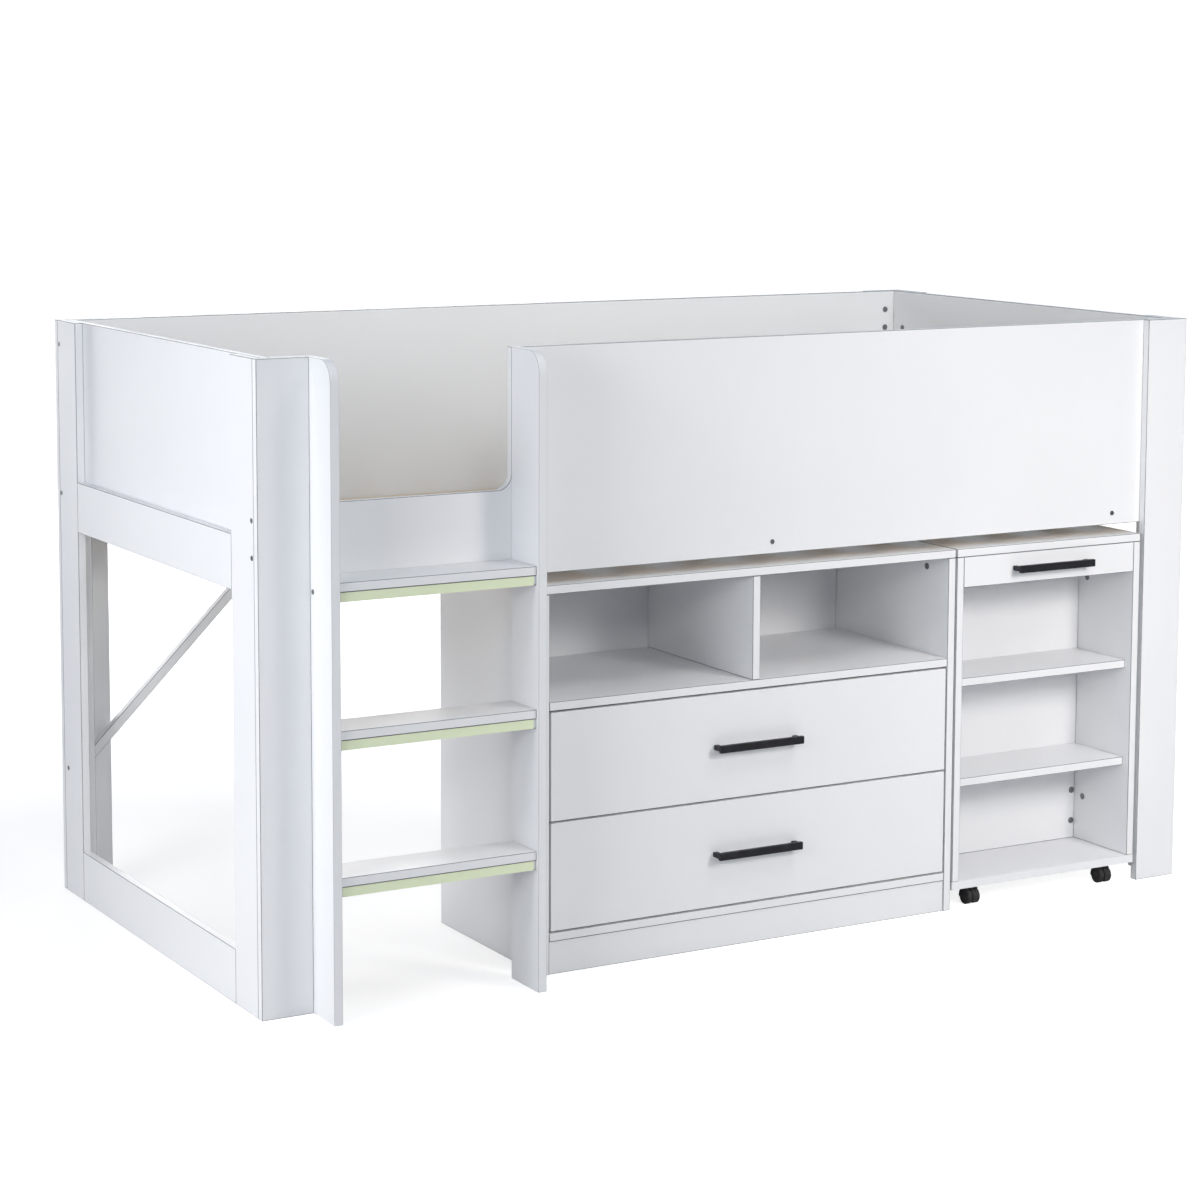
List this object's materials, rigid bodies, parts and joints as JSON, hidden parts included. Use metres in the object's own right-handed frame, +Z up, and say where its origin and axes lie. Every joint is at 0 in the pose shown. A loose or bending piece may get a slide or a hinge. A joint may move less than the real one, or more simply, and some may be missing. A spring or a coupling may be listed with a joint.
{
  "type": "loft bed with desk",
  "caption": "Low loft bed of white coated board with guards, ladder with glow strips, slatted base, drawer chest with open shelf, and a pull-out desk with bookcase on castors.",
  "frame": {"origin": "middle of the floor plan, at floor level", "axes": "+X along the bed towards the desk end, +Y from the ladder side to the rear, +Z up"},
  "size_m": [1.982, 1.064, 1.12],
  "materials": {
    "white_board": "white melamine-faced board, satin, edge-banded",
    "white_paint": "white painted square bar",
    "drawer_board": "thin white foil-faced board",
    "back_panel": "white-faced hardboard, matt",
    "pine": "planed, unfinished softwood",
    "glow_strip": "pale green glow-in-the-dark strip",
    "black_metal": "satin black powder coat",
    "zinc": "zinc-plated steel",
    "castor_plastic": "black moulded nylon",
    "castor_tread": "black wheel tread"
  },
  "bodies": {
    "bed": {"front_left_post_face": "white_board", "front_left_post_side": "white_board", "front_right_post_face": "white_board", "front_right_post_side": "white_board", "rear_left_post_face": "white_board", "rear_left_post_side": "white_board", "rear_right_post_face": "white_board", "rear_right_post_side": "white_board", "post_liners": "white_board", "left_end_rails": "white_board", "right_end_rails": "white_board", "left_end_panel": "white_board", "right_end_panel": "white_board", "front_guard": "white_board", "rear_guard": "white_board", "ladder_left_stringer": "white_board", "ladder_right_stringer": "white_board", "ladder_bottom_step": "white_board", "ladder_middle_step": "white_board", "ladder_top_step": "white_board", "step_battens": "white_board", "chest_top": "white_board", "chest_left_side": "white_board", "chest_right_side": "white_board", "chest_shelf": "white_board", "chest_divider": "white_board", "chest_bottom": "white_board", "chest_plinth": "white_board", "slat_rails": "pine", "slats": "pine", "rear_brace": "white_paint", "bed_fixings": "zinc", "chest_runners": "zinc", "glow_strips": "glow_strip", "chest_back": "back_panel"},
    "upper_drawer": {"upper_drawer_front": "white_board", "upper_drawer_box": "drawer_board", "upper_drawer_handle": "black_metal"},
    "lower_drawer": {"lower_drawer_front": "white_board", "lower_drawer_box": "drawer_board", "lower_drawer_handle": "black_metal"},
    "desk": {"desk_top": "white_board", "desk_left_side": "white_board", "desk_right_side": "white_board", "desk_base": "white_board", "desk_shelves": "white_board", "desk_back": "white_board", "desk_apron": "white_board", "desk_handle": "black_metal", "desk_rear_leg": "white_board", "desk_stretcher": "white_board", "desk_fixings": "zinc"},
    "front_left_castor": {"front_left_castor_fork": "castor_plastic"},
    "front_left_wheels": {"front_left_castor_wheels": "castor_tread"},
    "front_right_castor": {"front_right_castor_fork": "castor_plastic"},
    "front_right_wheels": {"front_right_castor_wheels": "castor_tread"},
    "rear_left_castor": {"rear_left_castor_fork": "castor_plastic"},
    "rear_left_wheels": {"rear_left_castor_wheels": "castor_tread"},
    "rear_right_castor": {"rear_right_castor_fork": "castor_plastic"},
    "rear_right_wheels": {"rear_right_castor_wheels": "castor_tread"}
  },
  "joints": [
    {"name": "upper_drawer_slide", "type": "slide", "parent": "bed", "child": "upper_drawer", "axis": [0, -1, 0], "range_m": [0, 0.27]},
    {"name": "lower_drawer_slide", "type": "slide", "parent": "bed", "child": "lower_drawer", "axis": [0, -1, 0], "range_m": [0, 0.27]},
    {"name": "desk_slide", "type": "slide", "parent": "bed", "child": "desk", "axis": [0, -1, 0], "range_m": [0, 0.7]},
    {"name": "front_left_castor_swivel", "type": "hinge", "parent": "desk", "child": "front_left_castor", "pos_m": [0.502, -0.413, 0.038], "axis": [0, 0, 1], "continuous": true},
    {"name": "front_left_wheels_spin", "type": "hinge", "parent": "front_left_castor", "child": "front_left_wheels", "pos_m": [0.502, -0.425, 0.015], "axis": [1, 0, 0], "continuous": true},
    {"name": "front_right_castor_swivel", "type": "hinge", "parent": "desk", "child": "front_right_castor", "pos_m": [0.826, -0.413, 0.038], "axis": [0, 0, 1], "continuous": true},
    {"name": "front_right_wheels_spin", "type": "hinge", "parent": "front_right_castor", "child": "front_right_wheels", "pos_m": [0.826, -0.425, 0.015], "axis": [1, 0, 0], "continuous": true},
    {"name": "rear_left_castor_swivel", "type": "hinge", "parent": "desk", "child": "rear_left_castor", "pos_m": [0.502, 0.444, 0.038], "axis": [0, 0, 1], "continuous": true},
    {"name": "rear_left_wheels_spin", "type": "hinge", "parent": "rear_left_castor", "child": "rear_left_wheels", "pos_m": [0.502, 0.432, 0.015], "axis": [1, 0, 0], "continuous": true},
    {"name": "rear_right_castor_swivel", "type": "hinge", "parent": "desk", "child": "rear_right_castor", "pos_m": [0.826, 0.444, 0.038], "axis": [0, 0, 1], "continuous": true},
    {"name": "rear_right_wheels_spin", "type": "hinge", "parent": "rear_right_castor", "child": "rear_right_wheels", "pos_m": [0.826, 0.432, 0.015], "axis": [1, 0, 0], "continuous": true}
  ]
}
